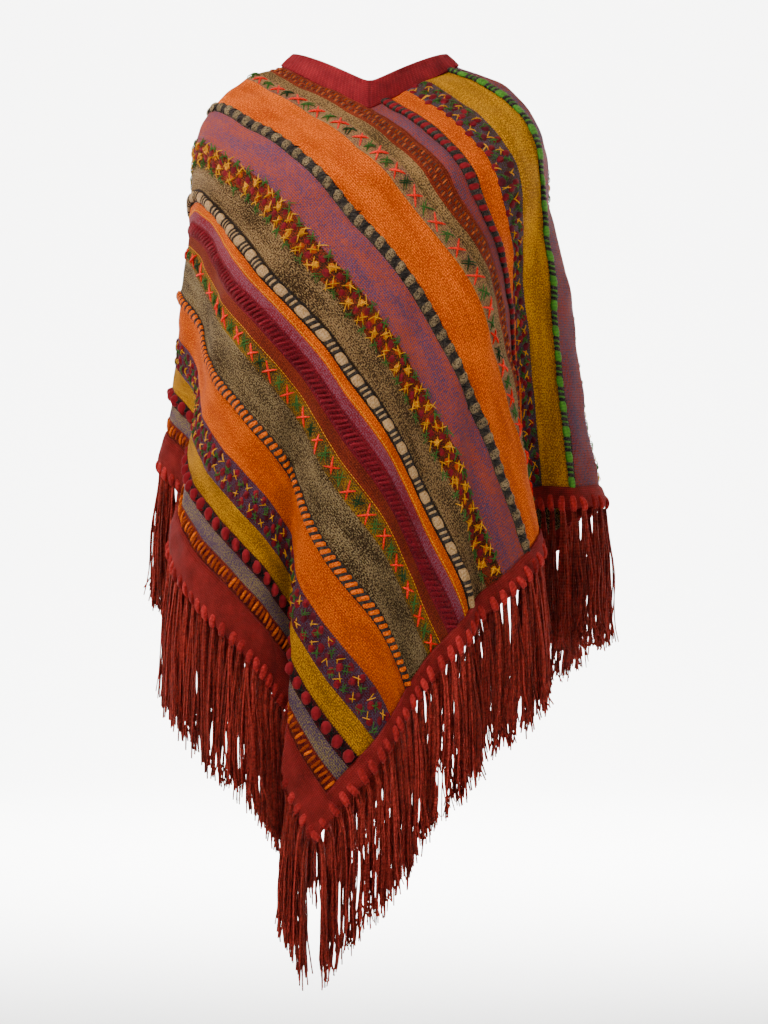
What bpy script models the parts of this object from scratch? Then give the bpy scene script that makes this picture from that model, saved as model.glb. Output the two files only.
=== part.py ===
"""An Andean poncho, worn: two knitted panels joined in an L, a rib neck band, hem bands and a fringe.

Metres, +Z up, front to -Y. The origin is midway between the two sides of the neck hole, where the
shoulders carry the poncho.

The cut. Both panels are 60 x 92 cm rectangles. A point of the flat cloth is (a, b): a runs across
the stripes and b along them. The left panel covers a 0..60, b 0..92 and the right panel covers
a -92..0, b 0..60. They are joined along a = 0 in front and along the left panel's far end behind, so
the flat shape closes into a cone whose apex lies 16 cm beyond each edge of the neck hole.

The worn shape. Straight lines from that apex are the lines that the cloth falls along. Each is
named by its turn round the cone, from 0 at the front point, through 45 at the right side, 90 at the
back point and 135 at the left side, to 180. FALLS says where the lines stand at chest height and at
hem height; between its rows the cloth follows one smooth closed curve, which makes the folds.
"""

import bpy
import numpy as np

# Cut sizes, in metres
PANEL_WIDTH = 0.60
PANEL_LENGTH = 0.92
APEX = 0.16                     # from the apex of the cone to each edge of the neck hole
NECK_LEG = PANEL_LENGTH - PANEL_WIDTH
LONG_BAND = 0.05                # hem band along the left panel's long edge
END_BAND = 0.025                # hem band along every other edge
FRINGE_LENGTH = 0.155
STEP = 0.025                    # grid of the faceted walls

# Walls
KNIT = 0.003
RIB = 0.0035
FRINGE = 0.004
SEAM = 0.0006                   # between the edges of two pieces
KNOT_GAP = 0.002                # from the hem to the top of the fringe
FRINGE_END = 0.004              # each fringe stops this far short of the corner of its hem
REACH = 0.012                   # the slopes of the cloth are taken over this reach to each side

# Heights
BUST_Z = -0.15
CHEST_Z = -0.27
HEM_Z = -0.60
LOWEST_Z = -1.06

# The smooth ring at bust height, where the yoke ends
BUST_HALF_WIDTH = 0.207
BUST_FRONT = 0.193
BUST_BACK = 0.155
BUST_SQUARENESS = 2.25
SLIP_ALL = -1.0                 # degrees of turn that the cloth has slid to the left, all round,
SLIP_FRONT = 3.6                # more in front and less behind,
SLIP_SIDES = 7.1                # and from both sides towards the front

# The yoke: how squarely it rounds over the shoulder, and the share of its drop that is a plain slope
ROUND_SIDE = 3.9
ROUND_FRONT_RIGHT = 1.35
ROUND_FRONT_LEFT = 2.0
ROUND_BACK = 2.6
SLOPE_SIDE = 0.27
SLOPE_FRONT = 0.60

# The neck hole, by its two sides and its front and back points
NECK_SIDE = (0.102, 0.006)      # x, z
NECK_FRONT = (-0.110, -0.060)   # y, z
NECK_BACK = (0.105, -0.022)
BAND_SIDE = (0.088, 0.019)      # the same for the upper edge of the neck band
BAND_FRONT = (-0.1035, -0.0285)
BAND_BACK = (0.096, -0.003)

# The lines the cloth falls along. The places are in centimetres at chest height and at hem height,
# and slack is the per cent of the cloth's length that small wrinkles take up along the line.
# name, turn, chest x, chest y, hem x, hem y, slack
FALLS = (
    ("front point", 0.8, -1.2, -20.5, -3.8, -22.2, 0.0),
    ("front", 4.7, 1.4, -20.5, 0.9, -22.8, 0.0),
    ("front right", 11.0, 5.7, -20.0, 6.0, -21.7, 0.0),
    ("small step ridge", 15.7, 9.1, -19.5, 10.5, -21.0, 0.0),
    ("small step foot", 17.8, 10.7, -19.1, 11.5, -19.2, 0.0),
    ("right front", 20.3, 12.6, -18.2, 14.2, -18.4, 0.0),
    ("right front edge", 23.9, 14.1, -15.2, 17.4, -16.6, 0.5),
    ("deep fold ridge", 27.7, 15.1, -12.0, 19.8, -13.0, 1.0),
    ("deep fold flank", 31.4, 16.0, -9.0, 18.0, -7.6, 2.0),
    ("deep fold valley", 35.4, 17.1, -5.9, 17.8, -2.0, 3.0),
    ("right column front", 39.2, 19.4, -3.9, 20.2, -2.6, 4.0),
    ("right column", 43.0, 21.6, -2.8, 24.2, -4.8, 4.0),
    ("right side ridge", 48.2, 23.7, 1.6, 28.6, 0.6, 4.0),
    ("right side valley", 53.5, 21.9, 4.8, 23.4, 5.8, 3.0),
    ("right back ridge", 59.5, 21.2, 9.4, 24.6, 12.8, 1.5),
    ("right back valley", 65.0, 17.2, 11.2, 17.2, 11.6, 0.0),
    ("back ridge 1", 71.5, 13.8, 15.4, 13.6, 19.2, 0.0),
    ("back valley 1", 77.0, 9.2, 14.9, 6.6, 15.4, 0.0),
    ("back ridge 2", 83.0, 5.0, 17.8, 0.6, 21.2, 0.0),
    ("back point", 89.5, 0.0, 16.2, -5.2, 17.6, 0.0),
    ("back ridge 3", 96.0, -4.6, 17.8, -10.2, 20.8, 0.0),
    ("back valley 3", 102.0, -8.4, 15.4, -13.2, 15.6, 0.0),
    ("back ridge 4", 108.0, -12.4, 16.6, -18.2, 17.8, 0.0),
    ("back valley 4", 113.5, -15.2, 12.6, -18.2, 11.6, 1.0),
    ("left back ridge", 119.5, -19.2, 11.6, -23.4, 12.6, 3.0),
    ("left back valley", 125.0, -19.4, 7.6, -20.6, 6.4, 5.0),
    ("left side ridge", 131.5, -21.6, 4.4, -25.2, 5.6, 8.0),
    ("left side", 138.5, -21.9, -1.2, -25.4, -1.2, 8.0),
    ("left side valley", 145.0, -19.8, -5.6, -20.4, -4.0, 4.0),
    ("left front ridge", 150.6, -17.9, -10.0, -22.8, -9.4, 0.0),
    ("left front", 157.5, -16.2, -14.4, -20.8, -15.6, -1.0),
    ("left front bulge", 165.0, -12.7, -17.9, -15.2, -19.8, -1.0),
    ("long fold flank", 169.8, -9.9, -19.3, -10.8, -19.2, -0.5),
    ("long fold valley", 173.2, -7.4, -19.8, -9.0, -17.4, 0.0),
    ("long fold ridge", 177.0, -4.0, -20.3, -7.6, -20.6, 0.0),
)

# Lower down the long fold beside the front point deepens. name, turn, then how far the line moves to
# the right and back in cm, from none at chest height to all of it near the hem
LOW_FOLD = (
    ("left front ridge", 150.6, 0.0, 0.0),
    ("left front", 157.5, 1.5, 0.0),
    ("left front bulge", 165.0, 2.0, 0.2),
    ("long fold flank", 169.8, 0.4, 1.2),
    ("long fold valley", 173.2, 1.4, 0.4),
    ("long fold ridge", 177.0, -1.0, -0.6),
    ("front point", 180.8, -0.8, -0.4),
    ("front", 184.7, 0.0, 0.0),
)

# name, base colour (linear), roughness
MATERIALS = {
    "striped_knit": ((0.42, 0.10, 0.03), 0.90),
    "neck_rib": ((0.37, 0.025, 0.04), 0.90),
    "hem_knit": ((0.35, 0.03, 0.06), 0.90),
    "fringe_yarn": ((0.22, 0.015, 0.02), 0.90),
}

COLLECTION = "andean_poncho"


def smooth(value):
    """Ease from 0 to 1 with level ends."""
    value = np.clip(value, 0.0, 1.0)
    return value * value * (3.0 - 2.0 * value)


def around(turn, column):
    """One column of FALLS at any turn: a cubic through the rows, closed after 180 degrees."""
    at = np.array([row[1] for row in FALLS])
    value = np.array([row[column] for row in FALLS])
    at = np.concatenate((at[-2:] - 180.0, at, at[:2] + 180.0))
    value = np.concatenate((value[-2:], value, value[:2]))
    step = np.diff(at)
    slope = np.diff(value) / step
    tangent = np.zeros_like(value)
    tangent[1:-1] = (slope[:-1] * step[1:] + slope[1:] * step[:-1]) / (step[1:] + step[:-1])
    turn = np.asarray(turn) % 180.0
    row = np.clip(np.searchsorted(at, turn, side="right") - 1, 1, len(at) - 3)
    gap = step[row]
    u = (turn - at[row]) / gap
    near = value[row] * (1 + 2 * u) * (1 - u) ** 2 + gap * tangent[row] * u * (1 - u) ** 2
    far = value[row + 1] * u * u * (3 - 2 * u) - gap * tangent[row + 1] * u * u * (1 - u)
    return near + far


def low_fold(turn):
    """How far each line moves right and back by LOW_FOLD, in metres."""
    turn = np.where(turn < 90.0, turn + 180.0, turn)
    at = [row[1] for row in LOW_FOLD]
    return np.stack([np.interp(turn, at, [row[axis] / 100 for row in LOW_FOLD]) for axis in (2, 3)],
                    axis=-1)


def neck_ring(turn, side, front, back):
    """A ring of four nearly straight legs between two sides and a point at front and back."""
    right = np.where(turn % 180.0 < 90.0, 1.0, -1.0)
    leg = np.tan(np.radians((turn % 90.0) - 45.0))
    ahead = -leg * right > 0
    far = np.abs(leg)
    x = right * side[0] * (1 - far ** 1.25)
    y = np.where(ahead, front[0], back[0]) * far ** 1.1
    z = side[1] + np.where(ahead, front[1] - side[1], back[1] - side[1]) * far ** 1.2
    return np.stack((x, y, z), axis=-1)


def bust_ring(turn):
    """The ring where the yoke ends: a squared oval, shared out evenly along each quarter."""
    twice = np.radians(2 * turn)
    turn = (turn - SLIP_ALL - SLIP_FRONT * np.cos(twice) - SLIP_SIDES * np.sin(twice)) % 180.0
    quarter = turn // 45.0
    share = (turn - 45.0 * quarter) / 45.0
    share = np.where(quarter % 2 == 0, share, 1 - share)
    angle = np.linspace(0, np.pi / 2, 400)
    ring = np.zeros(turn.shape + (3,))
    for depth, quarters in ((-BUST_FRONT, (0, 3)), (BUST_BACK, (1, 2))):
        x = BUST_HALF_WIDTH * np.sin(angle) ** (2 / BUST_SQUARENESS)
        y = depth * np.cos(angle) ** (2 / BUST_SQUARENESS)
        run = np.concatenate(([0.0], np.cumsum(np.hypot(np.diff(x), np.diff(y)))))
        run /= run[-1]
        part = np.isin(quarter, quarters)
        ring[part, 0] = np.interp(share, run, x)[part]
        ring[part, 1] = np.interp(share, run, y)[part]
    ring[..., 0] *= np.where(turn < 90.0, 1.0, -1.0)
    ring[..., 2] = BUST_Z
    return ring


def fall_lines(turn):
    """The lines at these turns, top to bottom, and the radius in the flat cone of each point.

    The yoke leaves the neck hole at a slope and rounds over the shoulder as a quarter of a squared
    oval. Below the bust the line goes through its chest place to its hem place, then straight down.
    The radius grows by the length of the line, because the cloth doesn't stretch along it.
    """
    neck = neck_ring(turn, NECK_SIDE, NECK_FRONT, NECK_BACK)
    bust = bust_ring(turn)
    facing = np.cos(np.radians(2 * turn))
    right = 0.5 + 0.5 * np.sin(np.radians(2 * turn))
    front = ROUND_FRONT_RIGHT * right + ROUND_FRONT_LEFT * (1 - right)
    flat_on = ROUND_BACK + (front - ROUND_BACK) * smooth(0.5 + 2.0 * facing)
    away = np.sqrt(facing ** 2 + 0.01)
    power = (ROUND_SIDE + (flat_on - ROUND_SIDE) * np.sqrt(away))[:, None]
    slope = (SLOPE_SIDE + (SLOPE_FRONT - SLOPE_SIDE) * away)[:, None]
    sweep = np.linspace(0, np.pi / 2, 28)[None, :-1]
    out = np.sin(sweep) ** (2 / power)
    down = (1 - slope) * (1 - np.cos(sweep) ** (2 / power)) + slope * out
    yoke = neck[:, None] + (bust - neck)[:, None] * np.stack((out, out, down), axis=-1)
    tuck = yoke[:, 0] - yoke[:, 1]
    tuck *= 0.02 / np.linalg.norm(tuck, axis=1)[:, None]

    z = np.linspace(BUST_Z, LOWEST_Z, 60)
    to_chest = smooth((BUST_Z - z) / (BUST_Z - CHEST_Z))[None]
    below = (CHEST_Z - z) / (CHEST_Z - HEM_Z)
    reach = np.clip(below, 0, 1)
    to_hem = 0.35 * smooth(reach) + 0.65 * reach ** 1.25 + 0.12 * np.clip(below - 1, 0, 2)
    hang = np.empty((len(turn), len(z), 3))
    for axis in (0, 1):
        high = bust[:, axis, None]
        chest = around(turn, 2 + axis)[:, None] / 100
        hem = around(turn, 4 + axis)[:, None] / 100
        hang[..., axis] = high + (chest - high) * to_chest + (hem - chest) * to_hem[None]
    hang[..., 2] = z
    low = smooth((CHEST_Z - 0.15 - z) / 0.40)[None, :, None]
    hang[..., :2] += low_fold(turn)[:, None] * low

    line = np.concatenate((yoke[:, :1] + tuck[:, None], yoke, hang), axis=1)
    length = np.cumsum(np.linalg.norm(np.diff(line, axis=1), axis=2), axis=1)
    run = np.concatenate((np.zeros((len(turn), 1)), length), axis=1) - 0.02
    edge = APEX / np.cos(np.radians((turn % 90.0) - 45.0))
    return line, edge[:, None] + run * (1 + around(turn, 6)[:, None] / 100)


class WornCloth:
    """The worn surface as a grid over the flat cone, read at any point of the flat cloth."""

    def __init__(self, turns=720, rings=124):
        self.turn_step = 180.0 / turns
        self.radius = np.linspace(APEX - 0.02, 1.25, rings)
        line, radius = fall_lines(np.arange(turns) * self.turn_step)
        self.grid = np.empty((turns + 1, rings, 3))
        for k in range(turns):
            for axis in range(3):
                self.grid[k, :, axis] = np.interp(self.radius, radius[k], line[k, :, axis])
        self.grid[-1] = self.grid[0]

    def at(self, a, b):
        """The place of the flat points (a, b), by linear steps between grid points."""
        across = a + APEX
        along = PANEL_WIDTH + APEX - b
        turn = (45.0 - np.degrees(np.arctan2(across, along))) % 180.0 / self.turn_step
        ring = (np.hypot(across, along) - self.radius[0]) / (self.radius[1] - self.radius[0])
        i = np.minimum(turn.astype(int), len(self.grid) - 2)
        j = np.clip(ring.astype(int), 0, len(self.radius) - 2)
        u = (turn - i)[..., None]
        v = (ring - j)[..., None]
        upper = self.grid[i, j] * (1 - u) + self.grid[i + 1, j] * u
        lower = self.grid[i, j + 1] * (1 - u) + self.grid[i + 1, j + 1] * u
        return upper * (1 - v) + lower * v

    def across_stripes(self, a, b):
        """The step in space for a step of a, taken over a short reach."""
        return self.at(a + REACH, b) - self.at(a - REACH, b)

    def along_stripes(self, a, b):
        """The step in space for a step of b, taken over a short reach."""
        return self.at(a, b + REACH) - self.at(a, b - REACH)

    def outward(self, a, b):
        """The outward direction at the flat points (a, b)."""
        return unit(np.cross(self.along_stripes(a, b), self.across_stripes(a, b)))

    def inward(self, a, b, edge):
        """The direction from a seam at (a, b) into the piece that ends there.

        It is square to the seam and to the outward direction, so that the edges of two pieces that
        both stay back along it are parallel. edge is the side of the flat piece that the seam is on.
        """
        if edge in ("low a", "high a"):
            back = np.cross(self.outward(a, b), self.along_stripes(a, b))
        else:
            back = np.cross(self.across_stripes(a, b), self.outward(a, b))
        return unit(back) if edge in ("low a", "low b") else -unit(back)


def unit(vector):
    """The same directions at length 1."""
    return vector / np.linalg.norm(vector, axis=-1, keepdims=True)


def stations(*stops):
    """Grid stations through these stops, about one STEP apart."""
    out = [stops[0]]
    for start, end in zip(stops, stops[1:]):
        count = max(1, round(abs(end - start) / STEP))
        out.extend(start + (end - start) * (k + 1) / count for k in range(count))
    return np.array(out)


def make_material(name):
    """A plain cloth material."""
    material = bpy.data.materials.new(name)
    material.use_nodes = True
    colour, roughness = MATERIALS[name]
    shader = material.node_tree.nodes["Principled BSDF"]
    shader.inputs["Base Color"].default_value = (*colour, 1.0)
    shader.inputs["Roughness"].default_value = roughness
    shader.inputs["Metallic"].default_value = 0.0
    return material


def split(corners, height):
    """Two triangles for each four-cornered face, along its steeper diagonal.

    The folds run down the cloth, so this keeps them smooth, and both faces of a wall and the edges
    on both sides of a seam are split alike.
    """
    first, second, third, fourth = (corners[..., k] for k in range(4))
    steep = np.abs(height[..., 0] - height[..., 2]) > np.abs(height[..., 1] - height[..., 3])
    upper = np.where(steep[..., None], np.stack((first, second, third), axis=-1),
                     np.stack((first, second, fourth), axis=-1))
    lower = np.where(steep[..., None], np.stack((first, third, fourth), axis=-1),
                     np.stack((second, third, fourth), axis=-1))
    return np.concatenate((upper.reshape(-1, 3), lower.reshape(-1, 3)))


def rim(outer, inner, height):
    """The narrow faces between an outer and an inner edge, split from the higher outer corner."""
    corners = np.stack((outer[1:], outer[:-1], inner[:-1], inner[1:]), axis=-1)
    second_is_higher = height[1:] > height[:-1]
    one = np.where(second_is_higher, 1.0, 0.0)
    return split(corners, np.stack((one, 1 - one, 0 * one, 0 * one), axis=-1))


def wall(name, middle, outward, thickness, material, closed=False):
    """A closed wall of even thickness about a grid of points, lofted between its two faces.

    Neighbouring pieces pass the same outward directions at a seam, so their edges stay parallel
    there; a Solidify modifier would tilt each edge by its own faces. closed joins the last row of
    the grid to the first.
    """
    facing = np.cross(middle[0, 1] - middle[0, 0], middle[1, 0] - middle[0, 0])
    if np.dot(facing, outward[0, 0]) < 0:
        middle, outward = middle[:, ::-1], outward[:, ::-1]
    rows, columns = middle.shape[:2]
    offset = outward * thickness / 2
    points = np.concatenate(((middle + offset).reshape(-1, 3), (middle - offset).reshape(-1, 3)))
    outer = np.arange(rows * columns).reshape(rows, columns)
    height = middle[..., 2]
    if closed:
        outer = np.concatenate((outer, outer[:1]))
        height = np.concatenate((height, height[:1]))
    inner = outer + rows * columns

    def cells(grid):
        return np.stack((grid[:-1, :-1], grid[:-1, 1:], grid[1:, 1:], grid[1:, :-1]), axis=-1)

    faces = [
        split(cells(outer), cells(height)),
        split(cells(inner), cells(height))[:, ::-1],
        rim(outer[::-1, 0], inner[::-1, 0], height[::-1, 0]),
        rim(outer[:, -1], inner[:, -1], height[:, -1]),
    ]
    if not closed:
        faces.append(rim(outer[0], inner[0], height[0]))
        faces.append(rim(outer[-1, ::-1], inner[-1, ::-1], height[-1, ::-1]))
    mesh = bpy.data.meshes.new(name)
    mesh.from_pydata(points.tolist(), [], np.concatenate(faces).tolist())
    mesh.materials.append(material)
    mesh.shade_smooth()
    mesh.set_sharp_from_angle(angle=np.radians(50))
    mesh.validate()
    piece = bpy.data.objects.new(name, mesh)
    bpy.data.collections[COLLECTION].objects.link(piece)
    return piece


def cloth_piece(name, cloth, a_stations, b_stations, material):
    """A rectangle of the flat cloth, worn, with each edge half a seam short."""
    a, b = np.meshgrid(a_stations, b_stations, indexing="ij")
    middle = cloth.at(a, b)
    middle[0] += cloth.inward(a[0], b[0], "low a") * SEAM / 2
    middle[-1] += cloth.inward(a[-1], b[-1], "high a") * SEAM / 2
    middle[:, 0] += cloth.inward(a[:, 0], b[:, 0], "low b") * SEAM / 2
    middle[:, -1] += cloth.inward(a[:, -1], b[:, -1], "high b") * SEAM / 2
    return wall(name, middle, cloth.outward(a, b), KNIT, material)


def fringe_piece(name, cloth, a, b, edge, material):
    """The reach of the fringe that is knotted into the hem line (a, b): it falls on as the cloth does."""
    across = a + APEX
    along = PANEL_WIDTH + APEX - b
    longer = 1 + FRINGE_LENGTH / np.hypot(across, along)
    low_a = across * longer - APEX
    low_b = PANEL_WIDTH + APEX - along * longer
    top = cloth.at(a, b) - cloth.inward(a, b, edge) * KNOT_GAP
    middle = np.stack((top, cloth.at(low_a, low_b)))
    outward = np.stack((cloth.outward(a, b), cloth.outward(low_a, low_b)))
    return wall(name, middle, outward, FRINGE, material)


def neck_band(cloth, material):
    """The rib band: a ring from the neck edge up to its own upper edge, pointed at front and back."""
    legs = round(NECK_LEG / STEP)
    step = np.arange(legs) / legs * NECK_LEG
    a = np.concatenate((np.zeros(legs), -NECK_LEG + step))
    b = np.concatenate((PANEL_WIDTH + step, np.full(legs, PANEL_WIDTH)))
    turn = (45.0 - np.degrees(np.arctan2(a + APEX, PANEL_WIDTH + APEX - b))) % 180.0
    inward = np.concatenate((cloth.inward(a[:legs], b[:legs], "low a"),
                             cloth.inward(a[legs:], b[legs:], "high b")))
    lower = neck_ring(turn, NECK_SIDE, NECK_FRONT, NECK_BACK) - inward * SEAM / 2
    upper = neck_ring(turn, BAND_SIDE, BAND_FRONT, BAND_BACK)
    seam_out = cloth.outward(a, b)
    ring_way = np.roll(upper, 1, axis=0) - np.roll(upper, -1, axis=0)
    upper_out = unit(np.cross(ring_way, upper - lower))
    grid = np.stack((lower, (lower + upper) / 2, upper), axis=1)
    outward = np.stack((seam_out, unit(seam_out + upper_out), upper_out), axis=1)
    return wall("neck_band", grid, outward, RIB, material, closed=True)


def build():
    """Build every piece of the poncho."""
    for item in list(bpy.data.objects):
        bpy.data.objects.remove(item)
    collection = bpy.data.collections.new(COLLECTION)
    bpy.context.scene.collection.children.link(collection)
    materials = {name: make_material(name) for name in MATERIALS}
    cloth = WornCloth()

    width, length = PANEL_WIDTH, PANEL_LENGTH
    long_edge = width - LONG_BAND
    far_end = -length + END_BAND
    left_side = stations(0, END_BAND, width, length)
    right_side = stations(-length, far_end, -NECK_LEG, 0)
    left_rows = stations(0, long_edge)
    right_columns = stations(END_BAND, width)
    knit, hem = materials["striped_knit"], materials["hem_knit"]
    cloth_piece("panel_left", cloth, left_rows, left_side[1:], knit)
    cloth_piece("panel_right", cloth, right_side[1:], right_columns, knit)
    cloth_piece("hem_band_left", cloth, stations(long_edge, width), left_side, hem)
    cloth_piece("hem_band_front", cloth, left_rows, stations(0, END_BAND), hem)
    cloth_piece("hem_band_right", cloth, right_side, stations(0, END_BAND), hem)
    cloth_piece("hem_band_back", cloth, stations(-length, far_end), right_columns, hem)
    neck_band(cloth, materials["neck_rib"])

    yarn = materials["fringe_yarn"]
    inset = FRINGE_END
    for name, a, b, edge in (
        ("fringe_left", width, stations(inset, END_BAND, width, length - inset), "high a"),
        ("fringe_front", stations(inset, long_edge, width - inset), 0, "low b"),
        ("fringe_right", stations(-length + inset, far_end, -NECK_LEG, -inset), 0, "low b"),
        ("fringe_back", -length, stations(inset, width - inset), "low a"),
    ):
        a, b = np.broadcast_arrays(a, b)
        fringe_piece(name, cloth, a, b, edge, yarn)


build()
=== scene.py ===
"""The looks of an Andean poncho: striped knit, raised cords and stitches, rib neck band and fringe.

Metres, +Z up, front to -Y. A point of the flat cloth is (a, b): a runs across the stripes, from the
front seam to the left panel's long hem (positive) or to the right panel's far end (negative), and b
runs along them, from the front hems. WornCloth says where each flat point hangs when the poncho is
worn, and everything on the cloth is placed by its flat point and its lift off the cloth.
"""

import bpy
import numpy as np
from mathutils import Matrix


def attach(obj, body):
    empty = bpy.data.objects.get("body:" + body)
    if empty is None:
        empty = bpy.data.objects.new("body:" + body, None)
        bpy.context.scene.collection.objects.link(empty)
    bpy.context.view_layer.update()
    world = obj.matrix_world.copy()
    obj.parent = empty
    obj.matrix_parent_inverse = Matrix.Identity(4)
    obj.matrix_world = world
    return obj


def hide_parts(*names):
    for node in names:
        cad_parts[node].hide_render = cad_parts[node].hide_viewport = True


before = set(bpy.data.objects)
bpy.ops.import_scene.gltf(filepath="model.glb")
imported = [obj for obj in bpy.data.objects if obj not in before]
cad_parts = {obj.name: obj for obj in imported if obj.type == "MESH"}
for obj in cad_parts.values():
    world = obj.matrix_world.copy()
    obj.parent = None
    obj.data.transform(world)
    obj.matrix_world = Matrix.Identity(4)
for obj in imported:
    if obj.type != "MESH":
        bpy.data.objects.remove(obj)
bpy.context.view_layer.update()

# The cut
PANEL_WIDTH = 0.60
PANEL_LENGTH = 0.92
APEX = 0.16                     # from the apex of the cone to each edge of the neck hole
LONG_BAND = 0.05                # hem band along the left panel's long edge
END_BAND = 0.025                # hem band along every other edge
FRINGE_LENGTH = 0.155

# The worn form
BUST_Z = -0.15
CHEST_Z = -0.27
HEM_Z = -0.60
LOWEST_Z = -1.06
BUST_HALF_WIDTH = 0.207
BUST_FRONT = 0.193
BUST_BACK = 0.155
BUST_SQUARENESS = 2.25
SLIP_ALL = -1.0                 # degrees of turn that the cloth has slid to the left, all round,
SLIP_FRONT = 3.6                # more in front and less behind,
SLIP_SIDES = 7.1                # and from both sides towards the front

# The yoke: how squarely it rounds over the shoulder, and the share of its drop that is a plain slope
ROUND_SIDE = 3.9
ROUND_FRONT_RIGHT = 1.35
ROUND_FRONT_LEFT = 2.0
ROUND_BACK = 2.6
SLOPE_SIDE = 0.27
SLOPE_FRONT = 0.60
NECK_SIDE = (0.102, 0.006)      # x, z
NECK_FRONT = (-0.110, -0.060)   # y, z
NECK_BACK = (0.105, -0.022)
BAND_SIDE = (0.088, 0.019)
BAND_TOP_FRONT = (-0.1065, -0.0320)    # before its point is rounded
BAND_BACK = (0.096, -0.003)

# The lines the cloth falls along: places in centimetres, slack in per cent.
# name, turn, chest x, chest y, hem x, hem y, slack
FALLS = (
    ("front point", 0.8, -1.2, -20.5, -3.8, -22.2, 0.0),
    ("front", 4.7, 1.4, -20.5, 0.9, -22.8, 0.0),
    ("front right", 11.0, 5.7, -20.0, 6.0, -21.7, 0.0),
    ("small step ridge", 15.7, 9.1, -19.5, 10.5, -21.0, 0.0),
    ("small step foot", 17.8, 10.7, -19.1, 11.5, -19.2, 0.0),
    ("right front", 20.3, 12.6, -18.2, 14.2, -18.4, 0.0),
    ("right front edge", 23.9, 14.1, -15.2, 17.4, -16.6, 0.5),
    ("deep fold ridge", 27.7, 15.1, -12.0, 19.8, -13.0, 1.0),
    ("deep fold flank", 31.4, 16.0, -9.0, 18.0, -7.6, 2.0),
    ("deep fold valley", 35.4, 17.1, -5.9, 17.8, -2.0, 3.0),
    ("right column front", 39.2, 19.4, -3.9, 20.2, -2.6, 4.0),
    ("right column", 43.0, 21.6, -2.8, 24.2, -4.8, 4.0),
    ("right side ridge", 48.2, 23.7, 1.6, 28.6, 0.6, 4.0),
    ("right side valley", 53.5, 21.9, 4.8, 23.4, 5.8, 3.0),
    ("right back ridge", 59.5, 21.2, 9.4, 24.6, 12.8, 1.5),
    ("right back valley", 65.0, 17.2, 11.2, 17.2, 11.6, 0.0),
    ("back ridge 1", 71.5, 13.8, 15.4, 13.6, 19.2, 0.0),
    ("back valley 1", 77.0, 9.2, 14.9, 6.6, 15.4, 0.0),
    ("back ridge 2", 83.0, 5.0, 17.8, 0.6, 21.2, 0.0),
    ("back point", 89.5, 0.0, 16.2, -5.2, 17.6, 0.0),
    ("back ridge 3", 96.0, -4.6, 17.8, -10.2, 20.8, 0.0),
    ("back valley 3", 102.0, -8.4, 15.4, -13.2, 15.6, 0.0),
    ("back ridge 4", 108.0, -12.4, 16.6, -18.2, 17.8, 0.0),
    ("back valley 4", 113.5, -15.2, 12.6, -18.2, 11.6, 1.0),
    ("left back ridge", 119.5, -19.2, 11.6, -23.4, 12.6, 3.0),
    ("left back valley", 125.0, -19.4, 7.6, -20.6, 6.4, 5.0),
    ("left side ridge", 131.5, -21.6, 4.4, -25.2, 5.6, 8.0),
    ("left side", 138.5, -21.9, -1.2, -25.4, -1.2, 8.0),
    ("left side valley", 145.0, -19.8, -5.6, -20.4, -4.0, 4.0),
    ("left front ridge", 150.6, -17.9, -10.0, -22.8, -9.4, 0.0),
    ("left front", 157.5, -16.2, -14.4, -20.8, -15.6, -1.0),
    ("left front bulge", 165.0, -12.7, -17.9, -15.2, -19.8, -1.0),
    ("long fold flank", 169.8, -9.9, -19.3, -10.8, -19.2, -0.5),
    ("long fold valley", 173.2, -7.4, -19.8, -9.0, -17.4, 0.0),
    ("long fold ridge", 177.0, -4.0, -20.3, -7.6, -20.6, 0.0),
)

# Lower down the long fold beside the front point deepens. name, turn, then how far the line moves to
# the right and back in cm, from none at chest height to all of it near the hem
LOW_FOLD = (
    ("left front ridge", 150.6, 0.0, 0.0),
    ("left front", 157.5, 1.5, 0.0),
    ("left front bulge", 165.0, 2.0, 0.2),
    ("long fold flank", 169.8, 0.4, 1.2),
    ("long fold valley", 173.2, 1.4, 0.4),
    ("long fold ridge", 177.0, -1.0, -0.6),
    ("front point", 180.8, -0.8, -0.4),
    ("front", 184.7, 0.0, 0.0),
)

# Knit
KNIT_THICKNESS = 0.0026
WALE = 0.0031                   # one stitch along the stripe
COURSE = 0.0024                 # one stitch across the stripe
CLOTH_STEP = 0.004              # grid of the panels


def dye(red, green, blue):
    """A linear colour from everyday 0..255 values."""
    value = np.array((red, green, blue)) / 255.0
    return tuple(np.where(value <= 0.04045, value / 12.92, ((value + 0.055) / 1.055) ** 2.4))


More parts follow.
